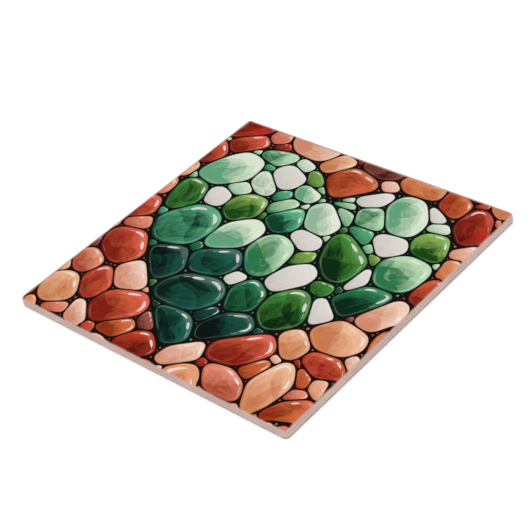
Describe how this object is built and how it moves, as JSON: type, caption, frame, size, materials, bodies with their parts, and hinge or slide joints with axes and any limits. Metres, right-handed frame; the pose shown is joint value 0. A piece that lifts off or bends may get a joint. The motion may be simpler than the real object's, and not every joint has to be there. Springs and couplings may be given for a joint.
{
  "type": "decorative ceramic tile",
  "caption": "Square glazed ceramic wall tile with a cushion edge, a keyed back and a flat glossy picture of a green pebble heart on a red pebble field.",
  "frame": {"origin": "middle of the back, in the plane that the tile lies on", "axes": "+Z out of the glazed face, +Y to the top of the picture, +X to the picture's right"},
  "size_m": [0.152, 0.152, 0.0053],
  "materials": {
    "glaze": "glossy clear glaze over a printed picture, bare pinkish taupe on the sides, unglazed buff on the back"
  },
  "bodies": {
    "root": {"tile": "glaze"}
  },
  "joints": []
}
